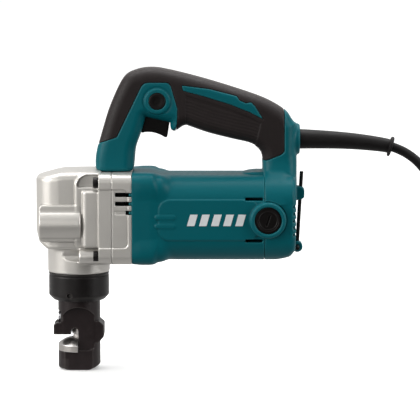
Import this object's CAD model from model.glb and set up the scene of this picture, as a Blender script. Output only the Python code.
"""Looks of the corded sheet-metal nibbler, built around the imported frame.

Shape functions work in millimetres on a grid of points and return a signed distance (negative
inside). mesh_of() turns such a field into a mesh, in metres, in the frame's own place.
"""
import math

import bmesh
import bpy
import numpy as np
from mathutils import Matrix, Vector


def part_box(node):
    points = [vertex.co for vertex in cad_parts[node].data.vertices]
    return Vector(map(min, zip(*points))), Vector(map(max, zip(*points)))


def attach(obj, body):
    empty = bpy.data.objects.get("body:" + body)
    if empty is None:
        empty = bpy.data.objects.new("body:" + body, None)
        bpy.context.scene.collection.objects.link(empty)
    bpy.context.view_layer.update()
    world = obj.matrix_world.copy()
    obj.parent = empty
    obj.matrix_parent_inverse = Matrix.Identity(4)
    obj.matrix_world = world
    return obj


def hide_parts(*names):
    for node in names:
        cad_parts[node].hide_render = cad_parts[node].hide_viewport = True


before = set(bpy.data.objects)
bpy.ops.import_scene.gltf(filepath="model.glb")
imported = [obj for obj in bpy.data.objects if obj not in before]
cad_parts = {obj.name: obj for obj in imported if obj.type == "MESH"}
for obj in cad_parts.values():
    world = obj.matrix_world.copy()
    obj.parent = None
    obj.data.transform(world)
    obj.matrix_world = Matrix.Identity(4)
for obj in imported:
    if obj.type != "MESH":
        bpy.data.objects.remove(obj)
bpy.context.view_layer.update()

MM = 0.001
F = np.float32


# -------- distance fields
def rmax(a, b, r=0.0):
    """Intersection of two solids; the edge they make is rounded to radius r."""
    if np.isscalar(r) and r <= 0:
        return np.maximum(a, b)
    r = np.asarray(r, F)
    a, b = a + r, b + r
    return np.minimum(np.maximum(a, b), 0) + np.sqrt(np.maximum(a, 0) ** 2 + np.maximum(b, 0) ** 2) - r


def rmin(a, b, r=0.0):
    """Union; the corner between the two is filled to radius r."""
    return -rmax(-a, -b, r)


def cut(a, b, r=0.0):
    return rmax(a, -b, r)


def carve(body, *tools):
    """Cuts the tools off one by one, with sharp edges."""
    for tool in tools:
        body = cut(body, tool)
    return body


def allof(r, *parts):
    out = parts[0]
    for p in parts[1:]:
        out = rmax(out, p, r)
    return out


def span(a, lo, hi):
    """The slab lo < a < hi."""
    return np.abs(a - F((lo + hi) / 2)) - F((hi - lo) / 2)


def box2(a, b, ha, hb, r=0.0):
    """Rounded rectangle of half sizes ha, hb."""
    qa, qb = np.abs(a) - (ha - r), np.abs(b) - (hb - r)
    return np.hypot(np.maximum(qa, 0), np.maximum(qb, 0)) + np.minimum(np.maximum(qa, qb), 0) - F(r)


def circle(a, b, r):
    return np.hypot(a, b) - F(r)


def polygon(a, b, points):
    """Signed distance to a closed outline."""
    a, b = np.broadcast_arrays(a, b)
    best = np.full(a.shape, 1e9, F)
    inside = np.zeros(a.shape, bool)
    pts = [(float(p[0]), float(p[1])) for p in points]
    for (x0, y0), (x1, y1) in zip(pts, pts[1:] + pts[:1]):
        ex, ey = x1 - x0, y1 - y0
        t = np.clip(((a - x0) * ex + (b - y0) * ey) / (ex * ex + ey * ey + 1e-12), 0, 1)
        best = np.minimum(best, (a - x0 - t * ex) ** 2 + (b - y0 - t * ey) ** 2)
        if y0 != y1:
            inside ^= ((b >= y0) != (b >= y1)) & (a < x0 + (b - y0) / (y1 - y0) * ex)
    return (np.sqrt(best) * np.where(inside, -1, 1)).astype(F)


def spline(points, n=5):
    """A smooth curve through the points."""
    p = [np.array(q, float) for q in points]
    out = []
    for i in range(len(p) - 1):
        a, b, c, d = p[max(i - 1, 0)], p[i], p[i + 1], p[min(i + 2, len(p) - 1)]
        for k in range(n):
            t = k / n
            out.append(0.5 * (2 * b + (c - a) * t + (2 * a - 5 * b + 4 * c - d) * t * t
                              + (3 * b - a - 3 * c + d) * t ** 3))
    return out + [p[-1]]


def turned(a, b, angle):
    return a * math.cos(angle) - b * math.sin(angle), a * math.sin(angle) + b * math.cos(angle)


def smooth(a, lo, hi):
    """0 below lo and 1 above hi, with a soft step between."""
    t = np.clip((a - lo) / (hi - lo), 0, 1)
    return t * t * (3 - 2 * t)


# -------- meshing
CORNERS = [(a, b, c) for a in (0, 1) for b in (0, 1) for c in (0, 1)]


def probe(f, p):
    """Field value at grid positions p, between samples."""
    top = np.array(f.shape) - 2
    i = np.clip(np.floor(p).astype(np.int32), 0, top)
    t = (p - i).astype(F)
    out = 0
    for corner in CORNERS:
        wx, wy, wz = (t[:, k] if far else 1 - t[:, k] for k, far in enumerate(corner))
        a, b, c = corner
        out = out + wx * wy * wz * f[i[:, 0] + a, i[:, 1] + b, i[:, 2] + c]
    return out


def gradient(f, p):
    g = np.empty(p.shape, F)
    for k in range(3):
        d = np.zeros(3)
        d[k] = 0.5
        g[:, k] = probe(f, p + d) - probe(f, p - d)
    return g


def new_object(name, verts, faces, normals=None):
    """verts in mm; faces as an (n, 4) array or a list of loops."""
    me = bpy.data.meshes.new(name)
    if isinstance(faces, np.ndarray):
        me.vertices.add(len(verts))
        me.vertices.foreach_set("co", (np.asarray(verts, float) * MM).astype(F).ravel())
        n, k = faces.shape
        me.loops.add(n * k)
        me.loops.foreach_set("vertex_index", faces.astype(np.int32).ravel())
        me.polygons.add(n)
        me.polygons.foreach_set("loop_start", (np.arange(n) * k).astype(np.int32))
        me.polygons.foreach_set("loop_total", np.full(n, k, np.int32))
        me.update(calc_edges=True)
    else:
        me.from_pydata([tuple(c * MM for c in v) for v in verts], [], faces)
    me.validate()
    me.polygons.foreach_set("use_smooth", [True] * len(me.polygons))
    if normals is not None:
        me.normals_split_custom_set_from_vertices([tuple(n) for n in normals])
    me.update()
    ob = bpy.data.objects.new(name, me)
    bpy.context.scene.collection.objects.link(ob)
    return ob


def mesh_of(name, lo, hi, step, field):
    """Meshes field(x, y, z) inside the box lo..hi (mm): a point in each cell that the surface
    crosses, moved onto the surface, and a quad across each crossed grid edge."""
    h = step * 1.0
    axes = [np.arange(a - 2 * h, b + 2.5 * h, h, dtype=F) for a, b in zip(lo, hi)]
    x, y, z = axes[0][:, None, None], axes[1][None, :, None], axes[2][None, None, :]
    shape = tuple(len(a) for a in axes)
    f = np.ascontiguousarray(np.broadcast_to(field(x, y, z), shape).astype(F))
    inside = f < 0
    count = np.zeros(tuple(n - 1 for n in shape), np.uint8)
    for a, b, c in CORNERS:
        count += inside[a:shape[0] - 1 + a, b:shape[1] - 1 + b, c:shape[2] - 1 + c]
    active = (count > 0) & (count < 8)
    cells = np.argwhere(active)
    index = np.full(active.shape, -1, np.int32)
    index[active] = np.arange(len(cells))
    pos, hits = np.zeros((len(cells), 3)), np.zeros(len(cells))
    for axis in range(3):
        u, v = (axis + 1) % 3, (axis + 2) % 3
        for du in (0, 1):
            for dv in (0, 1):
                a = cells.copy()
                a[:, u] += du
                a[:, v] += dv
                b = a.copy()
                b[:, axis] += 1
                fa, fb = f[a[:, 0], a[:, 1], a[:, 2]], f[b[:, 0], b[:, 1], b[:, 2]]
                hit = (fa < 0) != (fb < 0)
                p = a[hit].astype(float)
                p[:, axis] += fa[hit] / (fa[hit] - fb[hit])
                pos[hit] += p
                hits[hit] += 1
    pos /= hits[:, None]
    for _ in range(2):
        g = gradient(f, pos)
        size = np.maximum((g ** 2).sum(1), 0.05 * h * h)
        move = -(probe(f, pos) / size)[:, None] * g
        pos += np.clip(move, -0.35, 0.35)
    faces = []
    for axis in range(3):
        u, v = (axis + 1) % 3, (axis + 2) % 3
        near = [slice(None)] * 3
        far = [slice(None)] * 3
        near[axis], far[axis] = slice(0, -1), slice(1, None)
        pts = np.argwhere(inside[tuple(near)] != inside[tuple(far)])
        keep = (pts[:, u] > 0) & (pts[:, v] > 0) & (pts[:, u] < shape[u] - 1) & (pts[:, v] < shape[v] - 1)
        pts = pts[keep]
        quad = []
        for du, dv in ((0, 0), (1, 0), (1, 1), (0, 1)):
            c = pts.copy()
            c[:, u] -= du
            c[:, v] -= dv
            quad.append(index[c[:, 0], c[:, 1], c[:, 2]])
        quad = np.stack(quad, 1)
        outward = inside[pts[:, 0], pts[:, 1], pts[:, 2]]
        quad[~outward] = quad[~outward][:, ::-1]
        faces.append(quad)
    normals = gradient(f, pos)
    normals /= np.maximum(np.linalg.norm(normals, axis=1), 1e-9)[:, None]
    verts = pos * h + np.array([a[0] for a in axes])
    ob = new_object(name, verts, np.concatenate(faces), normals)
    # how sharply the surface bends: over 0 on outer edges, under 0 in inner corners
    bend = np.zeros_like(f)
    core = (slice(2, -2),) * 3
    for axis in range(3):
        for k in (-2, 2):
            at = [slice(2, -2)] * 3
            at[axis] = slice(2 + k, shape[axis] - 2 + k)
            bend[core] += f[tuple(at)] - f[core]
    bend = np.clip(probe(bend, pos) / (4 * h * h), -1.5, 1.5)
    ob.data.attributes.new("bend", "FLOAT", "POINT").data.foreach_set("value", bend.astype(F))
    return ob


def revolve(name, place, profile, sides=64, closed=False):
    """Rings of the profile's (s, r) points around the line place(s) -> (centre, side, up), in mm."""
    verts, rings = [], []
    for s, r in profile:
        c, u, v = place(s)
        if r <= 1e-6:
            rings.append([len(verts)] * sides)
            verts.append(tuple(c))
            continue
        rings.append([len(verts) + k for k in range(sides)])
        for k in range(sides):
            a = 2 * math.pi * k / sides
            verts.append(tuple(c + r * math.cos(a) * u + r * math.sin(a) * v))
    faces = []
    pairs = list(zip(rings, rings[1:])) + ([(rings[-1], rings[0])] if closed else [])
    for p, q in pairs:
        for k in range(sides):
            m = (k + 1) % sides
            loop = [p[k], p[m], q[m], q[k]]
            if p[0] == p[-1]:
                loop = [p[0], q[m], q[k]]
            elif q[0] == q[-1]:
                loop = [p[k], p[m], q[0]]
            faces.append(loop)
    return sharpen(new_object(name, verts, faces), 32)


def sharpen(ob, degrees):
    """Turns the faces outward, and shades them smooth with hard edges past the angle."""
    bm = bmesh.new()
    bm.from_mesh(ob.data)
    bmesh.ops.recalc_face_normals(bm, faces=bm.faces)
    bm.to_mesh(ob.data)
    bm.free()
    bpy.ops.object.select_all(action="DESELECT")
    ob.select_set(True)
    bpy.context.view_layer.objects.active = ob
    bpy.ops.object.shade_smooth_by_angle(angle=math.radians(degrees))
    return ob


# -------- sizes shared by the pieces (mm)
X, Y, Z = 0, 1, 2


def low_side(node, axis):
    return round(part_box(node)[0][axis] / MM, 1)


def middle(node, axis):
    lo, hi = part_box(node)
    return round((lo[axis] + hi[axis]) / 2 / MM, 1)


MOTOR_Z = middle("armature_shaft", Z)
CRANK_Z = middle("crank_gear", Z)
LAYSHAFT_Z = middle("layshaft", Z)
FLANGE_HW = -low_side("bearing_plate", Y)
FLANGE_HH = round(MOTOR_Z - low_side("bearing_plate", Z), 1)
BODY_HW = -low_side("handle_left", Y)
BODY_HH = round(MOTOR_Z - low_side("handle_left", Z), 1)
SLOTS_Z = [MOTOR_Z + 13 + 7.2 * k for k in (-1, 0, 1)]  # the plate's air slots
BRUSH_X = middle("brush_cap_left", X)
CAP_TURN = 0.32  # lean of the caps' slots, in radians
COVER_X0, COVER_X1 = 150.1, 175.2  # front and back of the rear cover
HANDLE_HW = 17.5
HANDLE_FOOT = 162.15  # under the front leg
LOCK_X, LOCK_Z = middle("lock_button", X), middle("lock_button", Z)
SCREW_Y, SCREW_DZ = 31.0, 29.6  # long screws, from the motor's axis
HANDLE_SCREWS = [(27, 196), (45, 233.5), (98, 215), (157, 205.5)]
KEY_X, KEY_Z, KEY_TILT = 177.0, 100.0, math.radians(3.2)
TRIGGER_TILT = math.radians(12.4)
CORD_Z = 187.3
FOOT_H, THROAT_TOP = low_side("die", Z), 28.9
DIE_SCREW_X, DIE_SCREW_Y = middle("die_screws", X), 8
PUNCH_SCREW_Z = 42.7
NUT_Z, NECK_Z, SPIGOT_R = low_side("lock_nut", Z), 79.8, 21.2

# outlines seen from the side, as (x, z)
outer_curve = spline([(14.6, 162.1), (14.8, 176), (20.5, 197.8), (27, 217.4), (36.7, 237), (47, 243.3),
                      (60, 245.2), (76, 242.7), (104, 235.5), (134, 226.2), (153, 219), (167, 210.5),
                      (172.5, 203)], 6)
inner_curve = spline([(150.3, 157), (149.2, 163), (148.7, 170), (146.4, 178.5), (139, 184), (124, 187.6),
                      (104.7, 192.5), (90, 197.6), (85.5, 198.6), (79, 194.6), (75.2, 195.8),
                      (74.3, 201.4)], 6)
front_curve = spline([(54.7, 205.7), (51, 193), (46.8, 181), (45.6, 170), (44.8, 162.1)])
HANDLE = ([(14.6, 145)] + outer_curve + [(175, 200), (175, 140), (150.3, 140)] + inner_curve
          + front_curve + [(44.8, 145)])
GRIP = [(10, 178), (18.6, 185.4), (31.7, 190), (50.2, 228), (51.9, 231.2), (54.2, 233.1), (57.2, 233.7),
        (71.5, 233.7), (73.6, 232.9), (75.1, 231.0), (80.4, 213), (80.2, 204.3), (78.6, 190), (90, 180),
        (146, 171), (152, 171.3), (157.6, 173.6), (163.6, 176), (166, 178.5), (166, 214), (150, 240),
        (60, 260), (5, 240)]
# shell that shows through the grip, and the grip's textured panel
INLAY = [(83.8, 231.5), (106, 228.6), (127.7, 223), (130, 219.6), (135.1, 217.3), (139.2, 218),
         (142.5, 214.9), (149.2, 204.1), (139.2, 209.5), (122.4, 216.2), (102.2, 222.4), (84.7, 227.1)]
PANEL = [(86.5, 224.0), (102, 219.3), (122, 213.0), (138.5, 206.5), (147.6, 201.4), (142.0, 178),
         (86.5, 190)]


def local_trigger(x, z):
    """Trigger's own axes: across its face, and along its travel."""
    return turned(x - 64.4, z - 203.5, TRIGGER_TILT)


def long_screws(ay, zz):
    """Distance to the axes of the four long screws."""
    return np.hypot(ay - SCREW_Y, np.abs(zz) - SCREW_DZ)


def handle_screws(x, z):
    return np.minimum.reduce([np.hypot(x - px, z - pz) for px, pz in HANDLE_SCREWS])


def thread(x, y, z):
    """Right-hand thread of the lock nut, 1.5 mm pitch, as a wave from -1 to 1."""
    return np.cos(z * (2 * math.pi / 1.5) - np.arctan2(y, x))


# -------- cast head
def head(x, y, z):
    ay, zz, rad = np.abs(y), z - MOTOR_Z, np.hypot(x, y)
    low = polygon(x, z, [(-24, 100.6), (-31, 105.6), (-34.2, 115), (-34.2, 190), (60, 190), (60, 100.6)])
    plan = box2(x - 13.1, y, 47.1, 27.5, 20)
    slope = np.maximum(-11 - x, 0)
    fall = 0.016 * np.maximum(8 - x, 0) + 0.265 * slope ** 2 / (slope + 4) + 0.0016 * y * y
    dome = (z - 163.4 + fall) / 1.05
    barrel = rmax(rmax(plan, low, 2.0), dome, 1.8 + 3.4 * smooth(x, -33, -16))
    barrel = rmax(barrel, x - 19)
    chamber = rmax(rmax(-1.4 - x, z - 162.3, 10), 101 - z, 3)
    chamber = rmax(rmax(chamber, box2(y, z - 131.65, 30.3, 30.65, 7), 1.6), x - 19)
    column = rmax(rmax(rmax(4.4 - x, ay - 33.7, 3.4), span(z, 102.8, 148.2), 1.8), x - 19)
    flange = rmax(box2(y, zz, FLANGE_HW, FLANGE_HH, 7), span(x, 17.5, 27.88), 0.4)
    boss = rmax(circle(ay - 21.6, z - 120.9, 13.5), span(x, -30.2, 3.2), 1.3)
    pad = rmax(box2(x + 13.5, z - 121.9, 16.7, 14.6, 3), ay - 30.1, 0.9)
    boss = rmin(boss, pad, 0.8)
    neck = rmax(rad - 25.1, span(z, NECK_Z + 0.1, 108), 0.9)
    lobe = rmax(circle(ay - 26.6, z - 95, 6.6), span(x, 1, 19), 2.4)
    body = rmin(barrel, boss, 0.4)
    for part, r in (chamber, 0.9), (column, 0.9), (neck, 2.2), (lobe, 1.6), (flange, 1.0):
        body = rmin(body, part, r)
    # pockets for the screw heads: upper ones have an arched front, lower ones run into the neck
    upper = rmax(rmax(rmax(0.2 - x, z - 161.0, 9.2), 150.9 - z, 0.8), span(x, -20, 17.4))
    body = cut(body, rmax(upper, 25.6 - ay, 0.8), 0.5)
    body = cut(body, rmax(circle(ay - 27, z - 95, 4.7), span(x, -30, 17.4)), 0.5)
    # shallow panel that runs on across the bearing plate
    body = cut(body, side_recess(x, ay, z), 0.2)
    spigot = rmax(rad - SPIGOT_R + 0.25 * thread(x, y, z), span(z, 66.25, 80), 0.3)
    body = np.minimum(body, spigot)
    r = np.hypot(y, z - CRANK_Z)
    body = carve(
        body,
        # chambers of the yoke and the gears
        allof(0, span(x, -8.5, 8.5), ay - 20.5, span(z, 94, 148.5)),
        rmax(box2(y, z - 127, 22, 31, 6), 20.3 - x),
        # crank and its two bearings, and the layshaft's front bearing
        rmax(r - 13.05, span(x, -30, -21.9)),
        rmax(r - 6, span(x, -30.5, 0)),
        rmax(r - 16.05, 8.4 - x),
        rmax(circle(y, z - LAYSHAFT_Z, 5.55), span(x, 12.9, 30)),
        # piston, and its sleeve
        rmax(rad - 16.6, z - 78.1),
        rmax(rad - 15.05, z - 95))
    return cut(body, rmax(long_screws(ay, zz) - 2.7, 17 - x))


def side_recess(x, ay, z):
    return rmax(box2(x - 25, z - 126.4, 16.2, 23.6, 4), 36.2 - ay, 0.3)


def plate(x, y, z):
    ay, zz = np.abs(y), z - MOTOR_Z
    body = rmax(box2(y, zz, FLANGE_HW, FLANGE_HH, 7), span(x, 28.12, 43.9), 0.35)
    body = cut(body, side_recess(x, ay, z), 0.2)
    r = np.hypot(y, zz)
    body = carve(
        body,
        rmax(box2(y, z - 133.3, 17.5, 27, 6), x - 35.6),
        rmax(r - 31.5, 38.6 - x),
        allof(0, span(x, 30.5, 50), span(ay, 20, 34.6), span(z, 126.5, 150.5)))
    for zc in SLOTS_Z:
        slot = box2(x - 41, z - zc, 10.2, 1.65, 0.7)
        if zc == SLOTS_Z[0]:
            # the lowest one is deep at its rear end only
            body = cut(body, rmax(slot, 35.6 - ay), 0.2)
            slot = box2(x - 45, z - zc, 5.6, 1.65, 0.7)
        body = cut(body, rmax(slot, 33 - ay), 0.25)
    layshaft_boss = rmax(circle(y, z - LAYSHAFT_Z, 6.5), span(x, 38.1, 42.1), 0.4)
    hub = rmin(rmax(r - 15.8, span(x, 38.1, 44.5), 0.5), layshaft_boss)
    body = carve(np.minimum(body, hub), rmax(r - 13.05, 36.6 - x), r - 6,
                 circle(y, z - LAYSHAFT_Z, 4.55) + np.maximum(x - 41, 0))
    return cut(body, long_screws(ay, zz) - 2.7)


# -------- motor casing
def housing(x, y, z):
    ay, az, zz = np.abs(y), np.abs(z - MOTOR_Z), z - MOTOR_Z
    t = smooth(x, 57.5, 69.5)
    hw, hh = FLANGE_HW - (FLANGE_HW - BODY_HW) * t, FLANGE_HH - (FLANGE_HH - BODY_HH) * t
    cr = 8 + 12 * smooth(x, 60, 66)
    qa, qb = ay - (hw - cr), az - (hh - cr)
    tube = np.hypot(np.maximum(qa, 0), np.maximum(qb, 0)) + np.minimum(np.maximum(qa, qb), 0) - cr
    body = rmax(tube, span(x, 44.08, 149.97), 0.4)
    # bosses for the long screws end in rounded cheeks
    cheek = rmax(circle(ay - 26.9, az - 25.2, 9.4), span(x, 45, 72.8), 7)
    body = rmin(body, cheek, 5)
    panel = rmax(box2(x - 105.4, zz, 40.2, 16.5, 9), ay - BODY_HW - 0.9, 0.9)
    body = rmin(body, rmax(panel, 30 - ay), 0.5)
    for zc in (127.6, 120.5):
        rib = rmax(box2(x - 70.8, z - zc, 8.3, 1.9, 1.8), span(ay, 34, 37.35), 0.75)
        body = rmin(body, rib, 0.6)
    pad = rmax(box2(x - 150, y, 17.5, 14.5, 11), z - 161.75 + 0.09 * np.maximum(143 - x, 0), 1.2)
    body = rmin(body, allof(0.4, pad, 155 - z, x - 149.97), 1.0)
    r = np.hypot(x - BRUSH_X, zz)
    boss = rmax(r - 14.4, ay - 41.2, 1.9)
    boss = rmax(boss, 20 - ay)
    bell = rmax(np.hypot(y, zz) - 26.8, span(x, 148, 171.5), 1.0)
    body = np.minimum(rmin(body, boss, 1.1), bell)
    # little tabs that reach into the bearing plate's slots
    for zc in SLOTS_Z:
        tab = allof(0.3, span(x, 41.9, 45), span(z, zc - 1.25, zc + 1.25), span(ay, 33.4, 36.3))
        body = np.minimum(body, tab)
    # room for the motor, its rear bearing and the brush boxes, and the caps' holes
    axial = np.hypot(y, zz)
    body = carve(
        body,
        rmax(axial - 31.6, x - 62),
        rmax(axial - 30.6, span(x, 61, 137)),
        rmax(axial - 24.5, span(x, 131, 168.5)),
        rmax(axial - 11.05, span(x, 160, 173)),
        allof(0, span(x, BRUSH_X - 4.5, BRUSH_X + 4.5), span(ay, 10, 36), az - 6.5),
        rmax(r - 8.7, 35 - ay))
    body = cut(body, rmax(r - 10.8, 37 - ay), 0.7)
    slots = rmax(box2(x - 141.4, az - 16.7, 7.1, 1.2, 0.5), 24 - ay)
    body = cut(body, slots, 0.3)
    return cut(body, rmax(long_screws(ay, zz) - 2.55, x - 58))


# -------- handle
def handle_core(d2, ay, grow=0.0):
    """The handle's outer form, from the distance d2 to its side outline."""
    return rmax(d2 - grow, ay - HANDLE_HW - grow, 9.0 + grow)


def handle_shell(side):
    def field(x, y, z):
        ay, zz = np.abs(y), z - MOTOR_Z
        d2 = polygon(x, z, HANDLE)
        core = handle_core(d2, ay)
        front_leg = rmax(core, HANDLE_FOOT - z, 3.2)
        core = np.where(x < 100, front_leg, core)
        cover_side = polygon(x, z, [(110, 80), (146.2, 80), (171, 93.8), (174.6, 100.3),
                                    (COVER_X1, 115.5), (COVER_X1, 180), (110, 180)])
        cover = rmax(box2(y, zz, BODY_HW, BODY_HH, 20), cover_side, 4.5)
        cover = rmax(cover, COVER_X0 - x, 0.8)
        lean = (ay - 24.5 + (z - 154) * 0.6) / 1.166
        fairing = rmax(rmax(rmax(lean, span(x, COVER_X0, 175.0), 6), z - 178, 3), 140 - z)
        fairing = rmax(fairing, COVER_X0 - x, 0.8)
        body = rmin(rmin(cover, fairing, 0.05 + 5 * smooth(-x, -173, -163)), core, 4)
        body = np.where(x < 146, core, body)
        collar = rmax(circle(y, z - CORD_Z, 12.4), span(x, 160, 178.8), 1.8)
        body = rmin(body, collar, 2.2)
        # the seat that the soft grip lies in
        seat2d = rmax(polygon(x, z, GRIP), -polygon(x, z, INLAY), 0.6)
        body = cut(body, rmax(seat2d - 0.15, -handle_core(d2, ay, -2.15)), 0.2)
        if side < 0:
            q = np.hypot(x - LOCK_X, z - LOCK_Z)
            rim = rmax(q - 10.3, span(ay, 14, 18.6), 1.3)
            body = cut(body, rmax(np.abs(q - 11.0) - 0.7, 17.1 - ay), 0.5)
            body = rmin(body, rim, 0.3)
        # lugs for the key
        clip_side = polygon(x, z, [(170, 137.5), (175.2, 137.5), (180.5, 138.5), (182.7, 140.2),
                                   (182.7, 146.8), (180.5, 148.6), (175.2, 149.6), (170, 149.6)])
        clip = rmax(clip_side, ay - 5.5, 0.9)
        kx, kz = x - KEY_X, z - KEY_Z
        lug = rmax(circle(kx, kz, 4.4), ay - 6, 0.9)
        u, w = turned(kx, kz, KEY_TILT)
        groove = rmin(circle(u, y, 1.75), rmax(ay - 1.62, -u))
        groove = rmax(groove, 4 - w)
        lugs = cut(np.minimum(clip, lug), groove, 0.3)
        lugs = carve(lugs, circle(kx, kz, 1.8),
                     allof(0, span(kx, -1.8, 12), ay - 1.8, span(kz, -5, 15)))
        body = rmin(body, rmax(lugs, 170 - x), 0.6)
        # inside
        body = carve(
            body,
            rmax(rmax(d2 + 4.2, ay - 14.5, 3), 166.3 - z),
            rmax(np.hypot(y, zz) - 31, span(x, 140, COVER_X1 - 2.6)),
            allof(0, span(x, 154, 169), ay - 9, span(z, 150, 182)))
        body = cut(body, rmax(circle(x - BRUSH_X, zz, 14.65), 20 - ay), 0.5)
        screws = handle_screws(x, z)
        body = np.minimum(body, rmax(screws - 4.6, ay - 13.2))
        for k in range(-2, 3):
            zc = MOTOR_Z - 0.9 + 5.6 * k
            high = span(z, zc - 1.3, zc + 1.3)
            vent = np.minimum(allof(0.4, span(x, 171, 180), span(ay, 14, 28), high),
                              allof(0.4, span(x, 172.6, 180), span(ay, 27, 40), high))
            body = cut(body, vent, 0.2)
        u, w = local_trigger(x, z)
        body = cut(body, allof(0, span(u, -11.9, 9.9), ay - 6.3, span(w, -15, 7)), 0.3)
        body = cut(body, allof(0, span(u, -12.4, 10.9), ay - 6.3, span(w, -15, 4.5)))
        body = cut(body, rmax(circle(y, z - CORD_Z, 8.5), 162 - x), 0.3)
        if side < 0:
            body = cut(body, rmax(np.hypot(x - LOCK_X, z - LOCK_Z) - 6.85, y + 5), 0.35)
        body = cut(body, rmax(screws - 2.15, -15.5 - y))
        if side > 0:
            body = cut(body, rmax(screws - 4.0, 9.9 - y), 0.3)
        # the foot screw's hole and counterbore
        body = carve(body, rmax(circle(x - 22.6, y, 2.5), 180 - z),
                     rmax(circle(x - 22.6, y, 5), span(z, 166.3, 176)))
        return rmax(body, -side * y + 0.03, 0.3)
    return field


def grip(side):
    def field(x, y, z):
        ay = np.abs(y)
        d2 = polygon(x, z, HANDLE)
        panel = smooth(-polygon(x, z, PANEL), -0.2, 1.0)
        ribs = 0.5 + 0.5 * np.cos((d2 + 1.2) * (2 * math.pi / 2.5))
        lowered = (panel * (0.32 + 0.16 * ribs)).astype(F)
        grow = -0.22 - lowered
        skin = rmax(d2 - grow, ay - HANDLE_HW - grow, 9.2)
        flat = rmax(polygon(x, z, GRIP), -polygon(x, z, INLAY), 1.0)
        body = rmax(skin, flat, 0.65)
        body = cut(body, handle_core(d2, ay, -2.1))
        if side > 0:
            body = cut(body, rmax(handle_screws(x, z) - 4.0, 4 - y), 0.4)
        return rmax(body, -side * y + 0.03, 0.25)
    return field


def trigger(x, y, z):
    u, w = local_trigger(x, z)
    face = spline([(10.4, -9), (10.3, -12.4), (8.8, -13.0), (4.0, -11.7), (-2, -11.3), (-7, -12.2),
                   (-10.2, -13.4), (-11.9, -12.2)])
    body = rmax(polygon(u, w, [(-11.6, 8), (9.7, 8), (9.9, -3)] + face), np.abs(y) - 6, 1.5)
    body = cut(body, allof(0, span(u, -7.9, 0.9), span(y, -6.5, -3.8), 3.6 - w))
    return np.minimum(body, allof(0.2, span(u, 3, 7), np.abs(y) - 2.5, span(w, 7, 9.05)))


def lock_button(x, y, z):
    r = np.hypot(x - LOCK_X, z - LOCK_Z)
    dish = 0.35 * (1 - smooth(r, 2.0, 5.4))
    head_part = rmax(r - 6.6, span(y, -18.7, -13.7), 0.7)
    head_part = rmax(head_part, -18.7 + dish - y, 0.2)
    return np.minimum(head_part, rmax(r - 4, span(y, -14, -6.8), 0.3))


def brush_cap(side):
    def field(x, y, z):
        r, d = np.hypot(x - BRUSH_X, z - MOTOR_Z), side * y - 35.1
        plug = rmax(r - 8.6, span(d, 0, 2.3), 0.3)
        disc = rmax(r - 10.55, span(d, 2.1, 4.95), 0.8)
        body = np.minimum(plug, disc)
        body = cut(body, rmax(np.abs(r - 8.0) - 0.35, 4.7 - d), 0.15)
        body = cut(body, rmax(r - 6.9, 4.55 - d), 0.4)
        slot_x, slot_z = turned(x - BRUSH_X, z - MOTOR_Z, CAP_TURN)
        return cut(body, allof(0, np.abs(slot_x) - 0.8, np.abs(slot_z) - 4.6, 3.0 - d), 0.2)
    return field


# -------- cutting end
def die_holder(x, y, z):
    ay, rad = np.abs(y), np.hypot(x, y)
    body = rmax(rmax(rad - 17.1, z - 63, 0.5), 0.02 - z, 2.6)
    body = rmax(body, (x - 9.6 - z * 2.15) / 2.37, 1.0)
    out = np.abs(x) - 20.4
    lug = rmax(out, ay - 11.3, 1.2)
    lug = allof(0.4, lug, (out + (z - 36.6) * 1.18) / 1.55, (out + (27.0 - z) * 0.97) / 1.39)
    body = rmin(body, rmax(lug, span(z, 22, 40)), 0.5)
    flange = rmax(rad - 20.5, span(z, 62, 66.1), 0.4)
    top = rmax(rad - 16.5, span(z, 66, 76), 0.5)
    body = np.minimum(np.minimum(body, flange), top)
    arch = rmin(circle(x, z - 37.2, 14.6), allof(0, circle(x, z - 38.3, 23.5), z - 35.5, 16.2 - z))
    body = cut(body, rmax(arch, 11.3 - ay), 0.3)
    body = cut(body, rmax(z - 18, 12.8 - ay), 0.3)
    body = cut(body, rmax(x + 14.6, np.abs(z - 43.1) - 4.6), 0.3)
    body = cut(body, rmax(rmax(x + 0.4, z - THROAT_TOP), FOOT_H - z), 0.4)
    notch = rmax(rmin(circle(x + 3.35, z - 31.3, 2.95), rmax(np.abs(x + 3.35) - 2.95, z - 31.3)), 25 - z)
    body = cut(body, notch, 0.3)
    body = cut(body, rmax(rad - 7, z - FOOT_H), 0.3)
    body = carve(body, rmax(rad - 6.05, span(z, 15, 36)), rmax(rad - 9.65, 32.5 - z))
    body = cut(body, rmax(rad - 12, 58.5 - z), 0.3)
    front = np.maximum(np.abs(z - 39.3) - 3.8, 0)
    window = rmax(np.hypot(y, front) - 4.3, x + 5)
    body = cut(body, window, 0.4)
    screws = np.hypot(x - DIE_SCREW_X, ay - DIE_SCREW_Y)
    body = cut(body, rmax(screws - 3.7, z - 9), 0.25)
    return cut(body, rmax(screws - 2.15, z - 20))


def die(x, y, z):
    """Round die with a flat front and a crown of two cones around the punch."""
    rad = np.hypot(x, y)
    crown = rmax((z - 25.55 + (rad - 7) * 0.2) / 1.02, (z - 21.0 - (17.0 - rad) * 1.35) / 1.68, 4.5)
    body = allof(0.25, rad - 17.15, z - 25.6, 15.12 - z, crown, x + 0.5)
    body = cut(body, rad - 6.05, 0.12)
    screws = np.hypot(x - DIE_SCREW_X, np.abs(y) - DIE_SCREW_Y)
    return cut(body, rmax(screws - 2.0, z - 20.1), 0.1)


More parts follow.
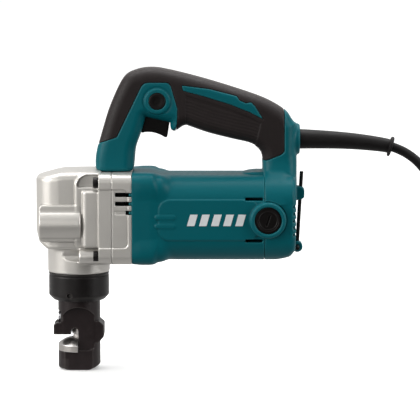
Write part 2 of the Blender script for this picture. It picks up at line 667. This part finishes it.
def lock_nut(x, y, z):
    rad = np.hypot(x, y)
    body = rmax(rad - 24.4, span(z, NUT_Z, NECK_Z), 0.7)
    body = rmax(body, (rad - 20.6 - (z - NUT_Z) * 0.972) / 1.394, 0.5)
    body = cut(body, rmax(np.abs(rad - 24.7) - 0.7, np.abs(z - 77.4) - 0.45), 0.2)
    body = cut(body, rad - 17.5, 0.4)
    body = cut(body, rmax(rad - SPIGOT_R - 0.3 + 0.25 * thread(x, y, z), 61.05 - z))
    # holes for a pin spanner
    for k in range(3):
        a = math.radians(120 * k - 16)
        dx, dy = math.sin(a), -math.cos(a)
        across = np.hypot(x * dy - y * dx, z - NUT_Z - 5.4)
        body = cut(body, rmax(across - 1.95, 22.3 - (x * dx + y * dy)), 0.15)
    return body


def punch(x, y, z):
    rad = np.hypot(x, y)
    body = rmax(rad - 5.97, span(z, 28.6, 55.8), 0.12)
    body = cut(body, allof(0, span(x, -7.2, -4.2), np.abs(y) - 5, span(z, 40.4, 45.6)), 0.15)
    return np.minimum(body, rmax(rad - 5.1, span(z, 16.0, 29), 0.25))


def punch_screw(x, y, z):
    zz = z - PUNCH_SCREW_Z
    r = np.hypot(y, zz)
    body = rmax(r - 4.05, span(x, -17.2, -13.28), 0.9)
    body = cut(body, rmax(np.abs(zz * 0.966 - y * 0.259) - 0.85, x + 15.4), 0.25)
    grooved = 2.45 - 0.18 * (0.5 + 0.5 * np.cos(x * (2 * math.pi / 0.9)))
    return np.minimum(body, rmax(r - grooved, span(x, -13.5, -4.4), 0.2))


# -------- cord
CORD_RUNS = [(44, 3), (36, 5.5), (14, 14), (30, 34)]  # arcs: length, and degrees of droop
CORD_X0 = COVER_X1 - 10
CORD_R = 3.78
GUARD_BORE = 3.93


def cord_place(s):
    """Centre, side and up vectors at a distance along the cord, which droops as it runs out."""
    px, pz, a = CORD_X0, CORD_Z, 0.0
    if s < 0:
        return np.array([px + s, 0, pz]), np.array([0, 1.0, 0]), np.array([0, 0, 1.0])
    left = s
    for length, bend in CORD_RUNS:
        step = min(left, length)
        r = length / math.radians(bend)
        b = a + step / r
        px += r * (math.sin(b) - math.sin(a))
        pz += r * (math.cos(b) - math.cos(a))
        a = b
        left -= step
        if left <= 1e-9:
            break
    px += left * math.cos(a)
    pz -= left * math.sin(a)
    return np.array([px, 0, pz]), np.array([0, 1.0, 0]), np.array([math.sin(a), 0, math.cos(a)])


def cord_profile():
    end = 139.4
    inner = [(-16, 0), (-16, 3.4), (-15.6, CORD_R)]
    run = [(s, CORD_R) for s in np.linspace(-10, end - 0.5, 70)]
    return inner + run + [(end - 0.15, 3.7), (end, 3.45), (end, 3.0), (end - 0.35, 2.85), (end - 0.35, 0)]


def guard_profile():
    """Tapered sleeve with a rounded collar at its end."""
    taper = [(s, 8.42 - 0.0325 * s) for s in np.linspace(1.0, 85.6, 47)]
    collar = [(86.0, 6.3), (86.2, 7.5), (86.6, 8.05), (87.1, 8.2), (87.8, 8.15), (88.2, 7.85),
              (88.45, 7.3), (88.5, 6.6), (88.5, 4.7), (88.2, 4.15), (87.6, GUARD_BORE)]
    bore = [(s, GUARD_BORE) for s in np.linspace(82, 1.2, 24)]
    return [(0.5, 4.2), (0.5, 8.1), (0.7, 8.35)] + taper + collar + bore


# -------- materials
class Look:
    """A Principled material with helpers for noise, bump and wear, in object space (metres)."""

    def __init__(self, name, colour, rough, metal=0.0, spec=0.5):
        self.mat = bpy.data.materials.new(name)
        self.mat.use_nodes = True
        self.tree = self.mat.node_tree
        self.bsdf = self.tree.nodes["Principled BSDF"]
        self.base = (*colour, 1)
        for key, value in (("Base Color", self.base), ("Roughness", rough), ("Metallic", metal),
                           ("Specular IOR Level", spec)):
            self.bsdf.inputs[key].default_value = value
        self.coord = self.add("ShaderNodeTexCoord").outputs["Object"]
        self.colour = None

    def add(self, kind, **values):
        node = self.tree.nodes.new(kind)
        for key, value in values.items():
            if hasattr(node, key):
                setattr(node, key, value)
            else:
                node.inputs[key.replace("_", " ")].default_value = value
        return node

    def link(self, a, b):
        self.tree.links.new(a, b)

    def noise(self, size_mm, detail=3.0, stretch=(1, 1, 1)):
        n = self.add("ShaderNodeTexNoise", Scale=1000.0 / size_mm, Detail=detail, Roughness=0.55)
        m = self.add("ShaderNodeMapping")
        m.inputs["Scale"].default_value = stretch
        self.link(self.coord, m.inputs["Vector"])
        self.link(m.outputs["Vector"], n.inputs["Vector"])
        return n.outputs["Fac"]

    def times(self, value, factor):
        n = self.add("ShaderNodeMath", operation="MULTIPLY")
        self.link(value, n.inputs[0])
        n.inputs[1].default_value = factor
        return n.outputs[0]

    def ramp(self, fac, lo, hi, out0=0.0, out1=1.0):
        n = self.add("ShaderNodeMapRange")
        for key, value in (("From Min", lo), ("From Max", hi), ("To Min", out0), ("To Max", out1)):
            n.inputs[key].default_value = value
        self.link(fac, n.inputs["Value"])
        return n.outputs["Result"]

    def mix(self, fac, colour):
        """Blends the colour so far towards another by fac."""
        n = self.add("ShaderNodeMix", data_type="RGBA")
        self.link(fac, n.inputs[0])
        if self.colour is None:
            n.inputs[6].default_value = self.base
        else:
            self.link(self.colour, n.inputs[6])
        n.inputs[7].default_value = (*colour, 1)
        self.colour = n.outputs[2]
        self.link(self.colour, self.bsdf.inputs["Base Color"])

    def patches(self, size_mm, detail, lo, hi, amount, colour):
        """Soft-edged patches of another colour."""
        self.mix(self.ramp(self.noise(size_mm, detail), lo, hi, 0.0, amount), colour)

    def wear(self, amount, colour):
        """Another colour on the outer edges."""
        self.mix(self.times(self.edges(), amount), colour)

    def vary_rough(self, fac, lo, hi):
        self.link(self.ramp(fac, 0.25, 0.75, lo, hi), self.bsdf.inputs["Roughness"])

    def bump(self, height, depth_mm, strength):
        n = self.add("ShaderNodeBump")
        n.inputs["Strength"].default_value = strength
        n.inputs["Distance"].default_value = depth_mm * MM
        self.link(height, n.inputs["Height"])
        self.link(n.outputs["Normal"], self.bsdf.inputs["Normal"])

    def bent(self, lo, hi):
        return self.ramp(self.add("ShaderNodeAttribute", attribute_name="bend").outputs["Fac"], lo, hi)

    def edges(self):
        """0 on flat ground and in hollows, 1 on outer edges of the shaped pieces."""
        return self.bent(0.35, 1.3)

    def hollows(self):
        """1 in inner corners."""
        return self.bent(-0.2, -1.0)


# the bend value that blacken() gives to the inside of an air duct, and where its black sets in
DUCT_BEND, DUCT_RANGE = -3, (-2.0, -2.8)


def cast_alloy():
    m = Look("cast_alloy", (0.61, 0.59, 0.555), 0.36, metal=0.62)
    m.patches(14, 3, 0.35, 0.7, 0.22, (0.52, 0.50, 0.475))
    m.mix(m.times(m.hollows(), 0.5), (0.24, 0.23, 0.215))
    m.wear(0.2, (0.74, 0.73, 0.71))
    m.mix(m.bent(*DUCT_RANGE), (0.008, 0.0075, 0.007))
    m.vary_rough(m.noise(5, 4), 0.30, 0.38)
    m.bump(m.noise(0.8, 3), 0.012, 0.5)
    return m.mat


def teal_shell():
    m = Look("teal_shell", (0.0, 0.089, 0.109), 0.38, spec=0.14)
    m.patches(30, 2, 0.3, 0.7, 0.25, (0.0, 0.099, 0.12))
    m.mix(m.times(m.hollows(), 0.5), (0.0, 0.045, 0.057))
    m.wear(0.35, (0.03, 0.19, 0.215))
    m.vary_rough(m.noise(3, 3), 0.34, 0.46)
    m.bump(m.noise(0.55, 2), 0.03, 0.45)
    return m.mat


def soft_grip():
    m = Look("soft_grip", (0.0085, 0.0052, 0.0052), 0.46, spec=0.26)
    m.patches(22, 3, 0.3, 0.75, 0.5, (0.0125, 0.008, 0.008))
    m.wear(0.25, (0.03, 0.024, 0.023))
    m.vary_rough(m.noise(2, 3), 0.46, 0.62)
    m.bump(m.noise(0.45, 2), 0.04, 0.6)
    m.bsdf.inputs["Sheen Weight"].default_value = 0.05
    m.bsdf.inputs["Sheen Tint"].default_value = (1.0, 0.86, 0.82, 1)
    m.bsdf.inputs["Sheen Roughness"].default_value = 0.5
    return m.mat


def black_plastic():
    m = Look("black_plastic", (0.0035, 0.0028, 0.0026), 0.32, spec=0.16)
    m.patches(8, 3, 0.3, 0.7, 0.5, (0.0055, 0.0045, 0.0045))
    m.wear(0.25, (0.03, 0.027, 0.027))
    m.vary_rough(m.noise(1.5, 3), 0.28, 0.42)
    m.bump(m.noise(0.5, 2), 0.025, 0.5)
    return m.mat


def black_rubber():
    m = Look("black_rubber", (0.0045, 0.0035, 0.0036), 0.44, spec=0.22)
    m.patches(10, 3, 0.3, 0.7, 0.5, (0.0075, 0.006, 0.0062))
    m.vary_rough(m.noise(2.5, 3, (0.3, 1, 1)), 0.44, 0.60)
    m.bump(m.noise(0.7, 3, (0.35, 1, 1)), 0.05, 0.5)
    return m.mat


def black_steel(name, colour, warm):
    m = Look(name, colour, 0.36, metal=0.35, spec=0.38)
    m.patches(9, 4, 0.35, 0.7, 0.6, warm)
    m.wear(0.3, (0.10, 0.09, 0.085))
    scuff = m.times(m.ramp(m.noise(3.5, 5), 0.62, 0.75), 0.12)
    m.mix(scuff, (0.06, 0.052, 0.05))
    m.vary_rough(m.noise(2.5, 4), 0.30, 0.46)
    m.bump(m.noise(0.5, 2, (1, 1, 6)), 0.006, 0.45)
    return m.mat


def bright_steel(name, colour, rough, grain):
    m = Look(name, colour, rough, metal=1.0)
    m.patches(6, 2, 0.35, 0.7, 0.2, tuple(c * 0.8 for c in colour))
    m.wear(0.3, (0.86, 0.86, 0.87))
    m.vary_rough(m.noise(1.2, 3, grain), rough - 0.05, rough + 0.07)
    m.bump(m.noise(0.35, 2, grain), 0.004, 0.5)
    return m.mat


def windings():
    m = Look("copper", (0.60, 0.20, 0.07), 0.30, metal=0.9)
    w = m.add("ShaderNodeTexWave", wave_type="RINGS", rings_direction="X", Scale=700.0, Distortion=1.2)
    shift = m.add("ShaderNodeMapping")
    shift.inputs["Location"].default_value = (0, 0, -MOTOR_Z * MM)
    m.link(m.coord, shift.inputs["Vector"])
    m.link(shift.outputs["Vector"], w.inputs["Vector"])
    m.mix(m.times(m.ramp(w.outputs["Fac"], 0.5, 0.1), 0.7), (0.20, 0.05, 0.02))
    m.vary_rough(m.noise(2, 3), 0.24, 0.4)
    m.bump(w.outputs["Fac"], 0.15, 0.8)
    return m.mat


def laminations():
    m = Look("laminations", (0.30, 0.30, 0.31), 0.42, metal=0.9)
    w = m.add("ShaderNodeTexWave", wave_type="BANDS", bands_direction="X", Scale=330.0, Distortion=0.2)
    m.link(m.coord, w.inputs["Vector"])
    m.mix(m.times(w.outputs["Fac"], 0.6), (0.12, 0.115, 0.11))
    m.patches(7, 4, 0.55, 0.75, 0.4, (0.22, 0.14, 0.09))
    m.vary_rough(m.noise(2, 3), 0.34, 0.52)
    m.bump(w.outputs["Fac"], 0.05, 0.6)
    return m.mat


def plain(name, colour, rough, metal, vary, size=5.0, depth=0.03):
    m = Look(name, colour, rough, metal=metal)
    m.patches(size, 4, 0.35, 0.7, 0.5, vary)
    m.wear(0.4, tuple(min(1, c * 1.4 + 0.02) for c in colour))
    m.vary_rough(m.noise(size / 3, 3), rough - 0.06, rough + 0.08)
    m.bump(m.noise(0.6, 3), depth, 0.5)
    return m.mat


LOOKS = {
    "cast_alloy": cast_alloy(),
    "teal_shell": teal_shell(),
    "soft_grip": soft_grip(),
    "black_plastic": black_plastic(),
    "black_rubber": black_rubber(),
    "black_steel": black_steel("black_steel", (0.0065, 0.0051, 0.0051), (0.0105, 0.0087, 0.0086)),
    "tool_steel": bright_steel("tool_steel", (0.50, 0.475, 0.45), 0.30, (1, 1, 8)),
    "gear_steel": bright_steel("gear_steel", (0.36, 0.36, 0.37), 0.34, (8, 1, 1)),
    "bearing_steel": bright_steel("bearing_steel", (0.62, 0.62, 0.64), 0.22, (8, 1, 1)),
    "bronze": plain("bronze", (0.46, 0.27, 0.10), 0.36, 0.95, (0.33, 0.18, 0.07)),
    "brass": plain("brass", (0.62, 0.44, 0.16), 0.32, 1.0, (0.46, 0.31, 0.11)),
    "copper": windings(),
    "laminations": laminations(),
    "carbon": plain("carbon", (0.022, 0.022, 0.024), 0.55, 0.2, (0.04, 0.04, 0.042), 3.0, 0.06),
    "white_print": plain("white_print", (0.66, 0.68, 0.69), 0.45, 0.0, (0.60, 0.62, 0.64), 4.0, 0.01),
}
# pieces that differ a little from their slot's look
OWN_LOOKS = {
    "punch_piece": bright_steel("punch_steel", (0.72, 0.68, 0.65), 0.36, (1, 1, 6)),
    "holder_piece": black_steel("holder_steel", (0.0125, 0.0078, 0.0082), (0.021, 0.014, 0.0145)),
}


def finish_piece(ob, body, slot, node, look=None):
    """Gives the piece its material, its body and the CAD node that it stands for."""
    ob.data.materials.clear()
    ob.data.materials.append(look or LOOKS[slot])
    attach(ob, body)
    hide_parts(node)


def blacken(ob, where):
    """Marks the points where(x, y, z) is true as the dark inside of an air duct."""
    me = ob.data
    co = np.empty(len(me.vertices) * 3)
    me.vertices.foreach_get("co", co)
    x, y, z = (co.reshape(-1, 3) / MM).T
    bend = np.empty(len(x))
    me.attributes["bend"].data.foreach_get("value", bend)
    bend[where(x, y, z)] = DUCT_BEND
    me.attributes["bend"].data.foreach_set("value", bend)


def grown_box(node):
    """A CAD node's box in mm, enlarged by a millimetre."""
    lo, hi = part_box(node)
    return [c / MM - 1 for c in lo], [c / MM + 1 for c in hi]


def in_ducts(x, y, z):
    return (x > 30.6) & (x < 43.5) & (np.abs(y) < 34.4) & (np.abs(z - 138) < 14)


# -------- the shaped pieces
SHAPED = [
    # piece, body, slot, CAD node, grid step (mm), field
    ("head", "tool", "cast_alloy", "head_casting", 0.62, head),
    ("plate", "tool", "cast_alloy", "bearing_plate", 0.6, plate),
    ("housing", "tool", "teal_shell", "motor_housing", 0.78, housing),
    ("shell_left", "tool", "teal_shell", "handle_left", 0.74, handle_shell(-1)),
    ("shell_right", "tool", "teal_shell", "handle_right", 0.74, handle_shell(1)),
    ("skin_left", "tool", "soft_grip", "grip_left", 0.6, grip(-1)),
    ("skin_right", "tool", "soft_grip", "grip_right", 0.6, grip(1)),
    ("trigger_piece", "trigger", "black_plastic", "trigger", 0.34, trigger),
    ("lock_piece", "lock", "black_plastic", "lock_button", 0.25, lock_button),
    ("cap_l_piece", "cap_l", "black_plastic", "brush_cap_left", 0.26, brush_cap(-1)),
    ("cap_r_piece", "cap_r", "black_plastic", "brush_cap_right", 0.26, brush_cap(1)),
    ("holder_piece", "cutting_end", "black_steel", "die_holder", 0.42, die_holder),
    ("die_piece", "cutting_end", "tool_steel", "die", 0.3, die),
    ("nut_piece", "nut", "black_steel", "lock_nut", 0.45, lock_nut),
    ("punch_piece", "punch_set", "tool_steel", "punch", 0.3, punch),
    ("punch_screw_piece", "punch_set", "bearing_steel", "punch_screw", 0.2, punch_screw),
]
for piece, body, slot, node, step, field in SHAPED:
    lo, hi = grown_box(node)
    if piece == "housing":
        lo[0] -= 2.5  # the tabs in the plate's slots
    ob = mesh_of(piece, lo, hi, step, field)
    if piece == "plate":
        blacken(ob, in_ducts)
    finish_piece(ob, body, slot, node, OWN_LOOKS.get(piece))

finish_piece(revolve("cord", cord_place, cord_profile(), 28), "tool", "black_rubber", "power_cord")
guard = revolve("guard", cord_place, guard_profile(), 40, closed=True)
finish_piece(guard, "tool", "black_rubber", "cord_guard")


def bent_key():
    """Twelve-sided bar swept down its long leg and round a tight bend into the short one."""
    bend, r, sides = 2.6, 1.55, 12
    x_axis, down, out = np.array([1.0, 0, 0]), np.array([0, 0, -1.0]), np.array([0, -1.0, 0])
    path = [(-s * down, down) for s in np.linspace(60.6, bend, 12)]
    for degrees in range(10, 90, 10):
        a = math.radians(degrees)
        ca, sa = math.cos(a), math.sin(a)
        path.append((bend * np.array([0, ca - 1, 1 - sa]), np.array([0, -sa, -ca])))
    path += [(s * out, out) for s in np.linspace(bend, 15.3, 4)]
    # centre, direction, radius and shift of each ring; the first and last ones chamfer the ends
    stations = [(*path[0], 0.8 * r, -0.35)] + [(*at, r, 0.0) for at in path] + [(*path[-1], 0.8 * r, 0.35)]
    verts = []
    for centre, along, radius, shift in stations:
        side = np.cross(along, x_axis)
        for k in range(sides):
            a = 2 * math.pi * k / sides
            q = radius * (1 if k % 2 else 0.985)
            verts.append(centre + along * shift + q * (math.cos(a) * x_axis + math.sin(a) * side))
    rings = [list(range(k, k + sides)) for k in range(0, len(verts), sides)]
    faces = [[a, b, d, c] for p, q in zip(rings, rings[1:])
             for a, b, c, d in zip(p, p[1:] + p[:1], q, q[1:] + q[:1])]
    faces += [rings[0][::-1], rings[-1]]
    # lean the long leg by the key's tilt, and set it on its pivot
    lean = math.tan(KEY_TILT)
    placed = [(KEY_X + v[0] + max(v[2], 0) * lean, v[1], KEY_Z + v[2]) for v in verts]
    return sharpen(new_object("key_piece", placed, faces), 25)


finish_piece(bent_key(), "key", "black_steel", "hex_key")

# -------- CAD nodes that keep their shape
KEPT = {
    "white_print": "badge_left badge_right",
    "black_steel": "die_screws head_screws handle_screws foot_screw",
    "bearing_steel": "thrust_washer crank_shaft eccentric_bearing crank_bearings layshaft_bearings "
                     "armature_shaft motor_bearings brush_spring_left brush_spring_right clamp_screws",
    "gear_steel": "punch_holder piston crank_gear layshaft layshaft_gear",
    "bronze": "piston_sleeve",
    "brass": "brush_holders",
    "carbon": "brush_left brush_right",
    "laminations": "armature_core stator_core",
    "copper": "armature_windings commutator field_coils",
    "black_plastic": "fan baffle_ring switch_body cord_clamp",
}
for slot, node in ((slot, node) for slot, nodes in KEPT.items() for node in nodes.split()):
    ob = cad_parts[node]
    ob.data.materials.clear()
    ob.data.materials.append(LOOKS[slot])
    if node.startswith("brush_spring"):
        continue
    weld = ob.modifiers.new("weld", "WELD")
    weld.merge_threshold = 2e-6
    bevel = ob.modifiers.new("bevel", "BEVEL")
    bevel.width = 0.05 * MM if node.startswith("badge") else 0.15 * MM
    bevel.segments = 2
    bevel.limit_method = "ANGLE"
    bevel.angle_limit = math.radians(35)
    bevel.harden_normals = True

# -------- floor, light and camera
WORLD_FRONT = 0.05  # brightness of the room in reflections, towards the camera's side
WORLD_BACK = 0.6  # and behind the tool
WORLD_TOP = 0.8  # the ceiling
FLOOR_GLOW = 0.22  # the floor's own light near the tool
FLOOR_FAR = 0.16  # and how much it gains further out
FLOOR_LEVEL = 0.7  # how bright the floor looks in reflections


def nodes_of(tree):
    """Shorthands for one node tree: add a node, feed a socket, and chain maths."""
    def add(kind, **props):
        n = tree.nodes.new(kind)
        for k, v in props.items():
            setattr(n, k, v)
        return n

    def feed(socket, value):
        if isinstance(value, (int, float)):
            socket.default_value = value
        else:
            tree.links.new(value, socket)

    def calc(op, a, b=0.0):
        n = add("ShaderNodeMath", operation=op)
        feed(n.inputs[0], a)
        feed(n.inputs[1], b)
        return n.outputs[0]

    def ease(value, lo, hi, out0, out1):
        n = add("ShaderNodeMapRange", interpolation_type="SMOOTHSTEP")
        feed(n.inputs["Value"], value)
        for key, v in (("From Min", lo), ("From Max", hi), ("To Min", out0), ("To Max", out1)):
            feed(n.inputs[key], v)
        return n.outputs["Result"]
    return add, feed, calc, ease


world = bpy.data.worlds.new("studio")
bpy.context.scene.world = world
world.use_nodes = True
add, feed, calc, ease = nodes_of(world.node_tree)
back = world.node_tree.nodes["Background"]
sep = add("ShaderNodeSeparateXYZ")
feed(sep.inputs["Vector"], add("ShaderNodeTexCoord").outputs["Generated"])
path = add("ShaderNodeLightPath")
# a dark room on the camera's side, a pale wall behind and a bright ceiling; the camera sees white
room = ease(sep.outputs["Y"], -0.5, 0.9, WORLD_FRONT, WORLD_BACK)
level = calc("ADD", room, ease(sep.outputs["Z"], 0.3, 0.95, 0.0, WORLD_TOP))
seen = add("ShaderNodeMix", data_type="FLOAT")
feed(seen.inputs[0], path.outputs["Is Camera Ray"])
feed(seen.inputs[2], level)
seen.inputs[3].default_value = 1.0
feed(back.inputs["Strength"], seen.outputs[0])
back.inputs["Color"].default_value = (1.0, 1.0, 1.0, 1)

bm = bmesh.new()
bmesh.ops.create_grid(bm, x_segments=1, y_segments=1, size=20)
me = bpy.data.meshes.new("floor")
bm.to_mesh(me)
bm.free()
floor = bpy.data.objects.new("floor", me)
bpy.context.scene.collection.objects.link(floor)
floor.location = (0, 0, -0.0004)
floor_mat = bpy.data.materials.new("floor")
floor_mat.use_nodes = True
add, feed, calc, ease = nodes_of(floor_mat.node_tree)
fb = floor_mat.node_tree.nodes["Principled BSDF"]
out = floor_mat.node_tree.nodes["Material Output"]
fb.inputs["Base Color"].default_value = (0.90, 0.90, 0.895, 1)
fb.inputs["Roughness"].default_value = 0.8
fb.inputs["Specular IOR Level"].default_value = 0.1
fb.inputs["Emission Color"].default_value = (1, 1, 1, 1)
where = add("ShaderNodeSeparateXYZ")
feed(where.inputs["Vector"], add("ShaderNodeNewGeometry").outputs["Position"])
far = calc("SQRT", calc("ADD", calc("MULTIPLY", where.outputs["X"], where.outputs["X"]),
                        calc("MULTIPLY", where.outputs["Y"], where.outputs["Y"])))
feed(fb.inputs["Emission Strength"], ease(far, 0.3, 2.5, FLOOR_GLOW, FLOOR_GLOW + FLOOR_FAR))
shade = add("ShaderNodeEmission")
shade.inputs["Color"].default_value = (1.0, 0.99, 0.98, 1)
feed(shade.inputs["Strength"], ease(where.outputs["Y"], -0.35, 0.15, WORLD_FRONT, FLOOR_LEVEL))
pick = add("ShaderNodeMixShader")
feed(pick.inputs["Fac"], calc("SUBTRACT", 1.0, add("ShaderNodeLightPath").outputs["Is Camera Ray"]))
feed(pick.inputs[1], fb.outputs["BSDF"])
feed(pick.inputs[2], shade.outputs["Emission"])
feed(out.inputs["Surface"], pick.outputs["Shader"])
floor.data.materials.append(floor_mat)


def area(name, at, to, size, power, colour=(1, 1, 1)):
    data = bpy.data.lights.new(name, "AREA")
    data.shape = "RECTANGLE"
    data.size, data.size_y = size
    data.energy = power
    data.color = colour
    ob = bpy.data.objects.new(name, data)
    bpy.context.scene.collection.objects.link(ob)
    ob.location = at
    ob.rotation_euler = (Vector(to) - Vector(at)).to_track_quat("-Z", "Y").to_euler()
    return ob


area("top", (0.05, 0.30, 1.75), (0.09, 0, 0.12), (2.4, 1.2), 30)
area("left", (-1.85, -0.85, 0.65), (0.0, 0, 0.13), (1.5, 1.9), 48, (1.0, 0.99, 0.97))
area("right", (1.90, -0.75, 0.6), (0.1, 0, 0.14), (1.2, 1.6), 25)
area("near_left", (-0.52, -1.2, 0.30), (-0.49, 0, 0.2), (0.86, 0.9), 4.0, (1.0, 0.99, 0.97))

target = Vector((0.1064, 0, 0.1293))
ELEVATION = math.radians(7.0)
DISTANCE = 2.0
VIEW_WIDTH = 0.3402  # what the picture spans at the tool, in metres
SENSOR = 36  # mm
cam_data = bpy.data.cameras.new("camera")
cam_data.sensor_width = SENSOR
cam_data.lens = SENSOR * DISTANCE / VIEW_WIDTH
cam_data.clip_end = 60
cam = bpy.data.objects.new("camera", cam_data)
bpy.context.scene.collection.objects.link(cam)
cam.location = target + DISTANCE * Vector((0, -math.cos(ELEVATION), math.sin(ELEVATION)))
cam.rotation_euler = (target - cam.location).to_track_quat("-Z", "Y").to_euler()
bpy.context.scene.camera = cam
bpy.context.scene.view_settings.view_transform = "Standard"
bpy.context.scene.view_settings.look = "None"

bpy.context.view_layer.update()
